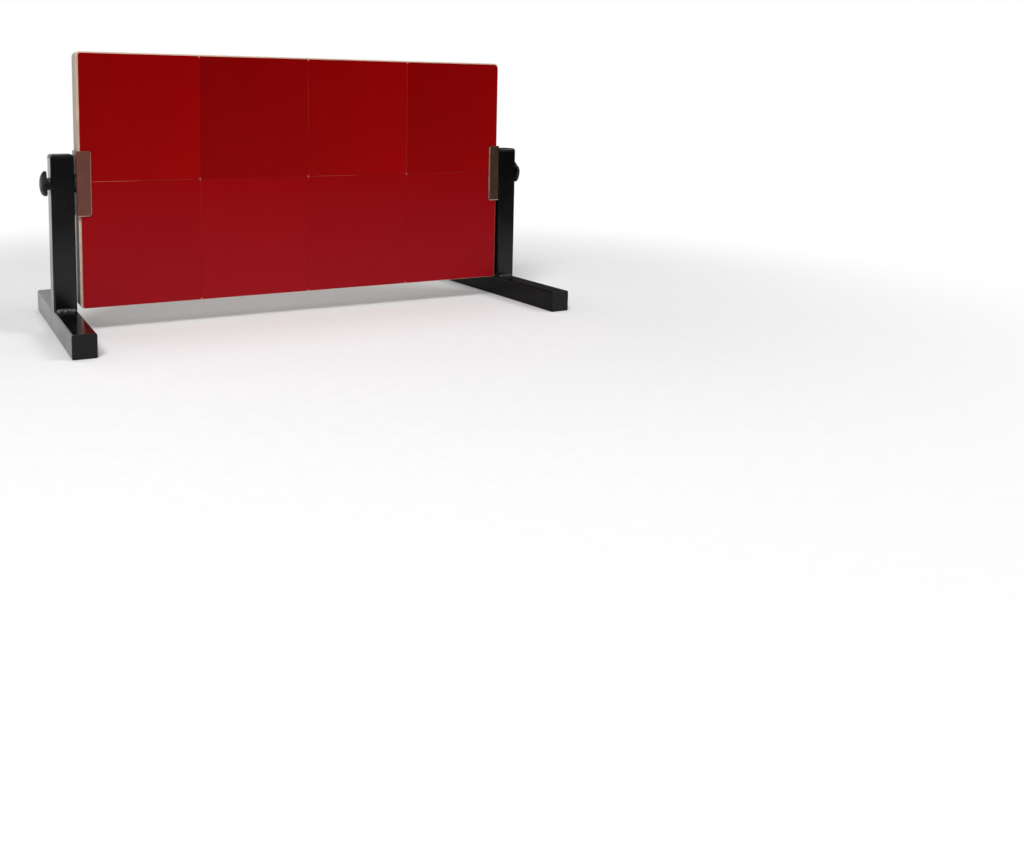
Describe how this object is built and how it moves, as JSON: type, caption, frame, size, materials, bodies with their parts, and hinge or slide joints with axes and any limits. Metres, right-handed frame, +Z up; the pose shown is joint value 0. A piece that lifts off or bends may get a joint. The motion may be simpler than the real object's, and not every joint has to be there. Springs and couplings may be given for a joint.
{
  "type": "table tennis rebound board",
  "caption": "Free-standing tilting board faced with smooth red rubber sheets, held by edge clips and star knobs between two T-shaped tube stands.",
  "frame": {"origin": "on the table, midway between the two stands and straight below the tilt axis", "axes": "+X along the board to the right of a player facing the rubber, -Y towards that player, +Z up"},
  "size_m": [0.7404, 0.32, 0.3697],
  "materials": {
    "rubber_red": "smooth pips-in table tennis rubber, deep red, satin sheen",
    "sponge": "matt open foam, pale apricot",
    "board_wood": "pale birch plywood under a thin clear seal",
    "clip_steel": "brown stove enamel, satin",
    "frame_paint": "black powder coat, semi-gloss",
    "weld": "rippled weld bead under the black paint, bright where the paint is thin",
    "cap_plastic": "black polyethylene, fine texture",
    "knob_plastic": "black moulded polyamide, fine texture",
    "zinc_steel": "zinc-plated steel",
    "black_steel": "black zinc-plated steel, satin",
    "nylon": "black nylon"
  },
  "bodies": {
    "stand": {"left_upright": "frame_paint", "left_upright_cap": "cap_plastic", "left_foot": "frame_paint", "left_foot_front_cap": "cap_plastic", "left_foot_back_cap": "cap_plastic", "left_weld_beads": "weld", "right_upright": "frame_paint", "right_upright_cap": "cap_plastic", "right_foot": "frame_paint", "right_foot_front_cap": "cap_plastic", "right_foot_back_cap": "cap_plastic", "right_weld_beads": "weld"},
    "board": {"backing_board": "board_wood", "rubber_row1_column1": "rubber_red", "rubber_row1_column2": "rubber_red", "rubber_row1_column3": "rubber_red", "rubber_row1_column4": "rubber_red", "rubber_row2_column1": "rubber_red", "rubber_row2_column2": "rubber_red", "rubber_row2_column3": "rubber_red", "rubber_row2_column4": "rubber_red", "sponge_row1_column1": "sponge", "sponge_row1_column2": "sponge", "sponge_row1_column3": "sponge", "sponge_row1_column4": "sponge", "sponge_row2_column1": "sponge", "sponge_row2_column2": "sponge", "sponge_row2_column3": "sponge", "sponge_row2_column4": "sponge", "clip_screws": "zinc_steel", "left_edge_clip": "clip_steel", "left_threaded_insert": "zinc_steel", "left_friction_spacer": "nylon", "right_edge_clip": "clip_steel", "right_threaded_insert": "zinc_steel", "right_friction_spacer": "nylon"},
    "left_washer": {"left_knob_washer": "black_steel"},
    "left_knob": {"left_star_knob": "knob_plastic", "left_knob_stud": "zinc_steel"},
    "right_washer": {"right_knob_washer": "black_steel"},
    "right_knob": {"right_star_knob": "knob_plastic", "right_knob_stud": "zinc_steel"}
  },
  "joints": [
    {"name": "board_tilt", "type": "hinge", "parent": "stand", "child": "board", "pos_m": [0, 0, 0.1974], "axis": [1, 0, 0], "continuous": true},
    {"name": "left_knob_travel", "type": "slide", "parent": "board", "child": "left_washer", "axis": [-1, 0, 0], "range_m": [0, 0.0025]},
    {"name": "left_knob_turn", "type": "hinge", "parent": "left_washer", "child": "left_knob", "pos_m": [-0.3604, 0, 0.1974], "axis": [-1, 0, 0], "range_deg": [0, 720]},
    {"name": "right_knob_travel", "type": "slide", "parent": "board", "child": "right_washer", "axis": [1, 0, 0], "range_m": [0, 0.0025]},
    {"name": "right_knob_turn", "type": "hinge", "parent": "right_washer", "child": "right_knob", "pos_m": [0.3604, 0, 0.1974], "axis": [1, 0, 0], "range_deg": [0, 720]}
  ],
  "couplings": [
    {"joint": "left_knob_turn", "follows": "left_knob_travel", "rad_per_m": 5026},
    {"joint": "right_knob_turn", "follows": "right_knob_travel", "rad_per_m": 5026}
  ]
}
